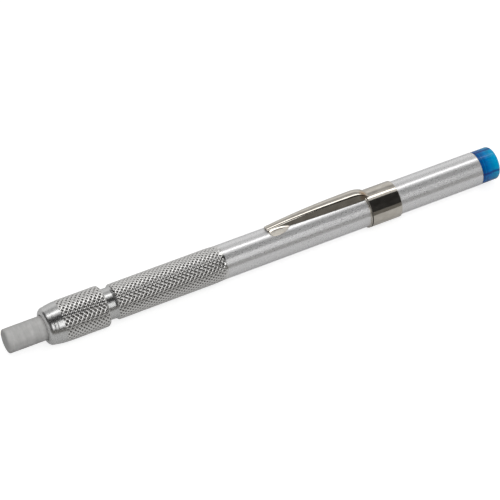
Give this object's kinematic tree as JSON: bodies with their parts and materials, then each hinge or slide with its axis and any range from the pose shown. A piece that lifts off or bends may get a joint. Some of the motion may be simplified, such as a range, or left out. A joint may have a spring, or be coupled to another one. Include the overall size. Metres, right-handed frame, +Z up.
{
  "type": "round soapstone holder",
  "caption": "Pen-shaped metal holder that grips a round soapstone stick in a screw chuck, with a knurled nut and grip, a sprung pocket clip and a translucent blue end plug.",
  "frame": {"origin": "on the surface that the holder lies on, under the middle of its length, in the upright plane through its axis", "axes": "+X along the axis from the stick's tip to the end plug, +Z up through the pocket clip, +Y to the side"},
  "size_m": [0.14, 0.0108, 0.0121],
  "materials": {
    "satin_aluminium": "satin",
    "polished_aluminium": "polished",
    "collet_brass": "satin",
    "soapstone": "matte",
    "nickel_plate": "polished",
    "blue_plastic": "gloss"
  },
  "bodies": {
    "barrel": {"barrel": "satin_aluminium", "pocket_clip": "nickel_plate", "end_plug": "blue_plastic"},
    "collet": {"collet": "collet_brass"},
    "chuck_nut": {"chuck_nut": "polished_aluminium"},
    "soapstone_stick": {"soapstone_stick": "soapstone"}
  },
  "joints": [
    {"name": "stick_slide", "type": "slide", "parent": "barrel", "child": "soapstone_stick", "axis": [-1, 0, 0], "range_m": [-0.0016, 0.1]},
    {"name": "collet_advance", "type": "slide", "parent": "barrel", "child": "collet", "axis": [-1, 0, 0], "range_m": [0, 0.006]},
    {"name": "chuck_nut_turn", "type": "hinge", "parent": "collet", "child": "chuck_nut", "pos_m": [-0.0517, 0, 0.0054], "axis": [-1, 0, 0], "range_deg": [0, 2160]}
  ],
  "couplings": [
    {"joint": "chuck_nut_turn", "follows": "collet_advance", "rad_per_m": 6283.2}
  ]
}
